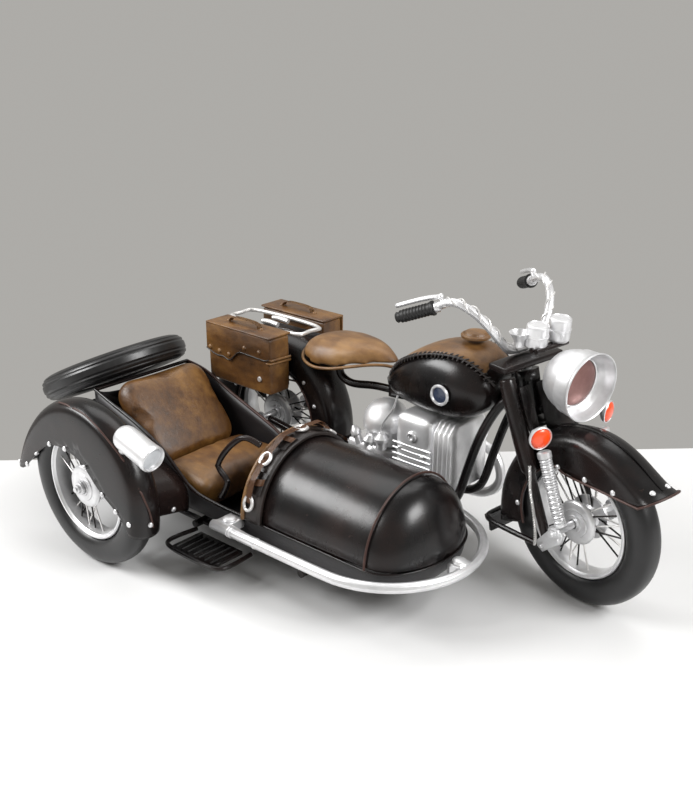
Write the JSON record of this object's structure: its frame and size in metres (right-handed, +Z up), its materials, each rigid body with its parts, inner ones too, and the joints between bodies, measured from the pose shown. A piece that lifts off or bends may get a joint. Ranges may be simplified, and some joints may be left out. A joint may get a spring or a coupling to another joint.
{
  "type": "tin motorcycle with sidecar",
  "caption": "Hand-made tin toy motorcycle with a sidecar: steered fork, three turning spoked wheels, leather saddle and panniers, laced round-nosed cowl, bumper rail and spare wheel.",
  "frame": {"origin": "under the middle of the whole toy's box, on the ground", "axes": "+X forward along the bike, +Y to the rider's left (the sidecar is on the right, at -Y), +Z up"},
  "size_m": [0.4206, 0.2352, 0.1704],
  "materials": {
    "badge": "polished plain disc",
    "black_paint": "satin black paint",
    "brown_leather": "antique brown leather",
    "copper_glass": "copper-toned lens",
    "grey_paint": "satin dark grey paint",
    "grip_rubber": "ribbed black rubber",
    "orange": "orange lacquer",
    "silver": "polished bright metal",
    "tyre": "smooth black tyre",
    "wire_silver": "bright metal wire"
  },
  "bodies": {
    "bike": {"air_filter": "silver", "backbone": "black_paint", "bumper_rail": "silver", "cylinder_left": "silver", "engine_case": "silver", "exhaust_pipe": "silver", "filler_cap": "brown_leather", "frame_tube_left": "black_paint", "frame_tube_right": "black_paint", "front_cover": "silver", "gearbox": "silver", "grab_rail": "black_paint", "lace_strap": "brown_leather", "luggage_rack": "wire_silver", "pannier_left": "brown_leather", "pannier_right": "brown_leather", "rear_axle": "silver", "rear_fender": "black_paint", "saddle": "brown_leather", "seat_back": "brown_leather", "seat_cushion": "brown_leather", "seat_rail": "black_paint", "side_lamp": "silver", "sidecar_axle": "silver", "sidecar_chassis": "black_paint", "sidecar_cowl": "black_paint", "sidecar_fender": "black_paint", "sidecar_tub": "grey_paint", "spare_rim": "silver", "spare_tyre": "tyre", "step_plate": "black_paint", "tank": "black_paint", "tank_disc": "badge", "tank_top_panel": "brown_leather"},
    "fork": {"front_axle": "silver", "front_fender": "black_paint", "fork_leg_left": "black_paint", "fork_leg_right": "black_paint", "spring_left": "silver", "spring_right": "silver", "turn_signal_left": "orange", "turn_signal_right": "orange", "steering_stem": "silver", "top_yoke": "black_paint", "lower_yoke": "black_paint", "headlight_shell": "silver", "headlight_lens": "copper_glass", "gauge_cluster": "silver", "handlebar": "silver", "grip_left": "grip_rubber", "grip_right": "grip_rubber", "crash_bar": "black_paint"},
    "front_wheel": {"front_tyre": "tyre", "front_wheel": "silver"},
    "rear_wheel": {"rear_tyre": "tyre", "rear_wheel": "silver"},
    "sidecar_wheel": {"sidecar_tyre": "tyre", "sidecar_wheel": "silver"}
  },
  "joints": [
    {"name": "steering", "type": "hinge", "parent": "bike", "child": "fork", "pos_m": [0.1116, 0.05729, 0.115], "axis": [-0.2419, 0, 0.9703], "range_deg": [-20, 21]},
    {"name": "front_wheel_spin", "type": "hinge", "parent": "fork", "child": "front_wheel", "pos_m": [0.15688, 0.05077, 0.05002], "axis": [0.2183, 0.9744, 0.0544], "continuous": true},
    {"name": "rear_wheel_spin", "type": "hinge", "parent": "bike", "child": "rear_wheel", "pos_m": [-0.08189, 0.05729, 0.05], "axis": [0, 1, 0], "continuous": true},
    {"name": "sidecar_wheel_spin", "type": "hinge", "parent": "bike", "child": "sidecar_wheel", "pos_m": [-0.08289, -0.10272, 0.05], "axis": [0, 1, 0], "continuous": true}
  ]
}
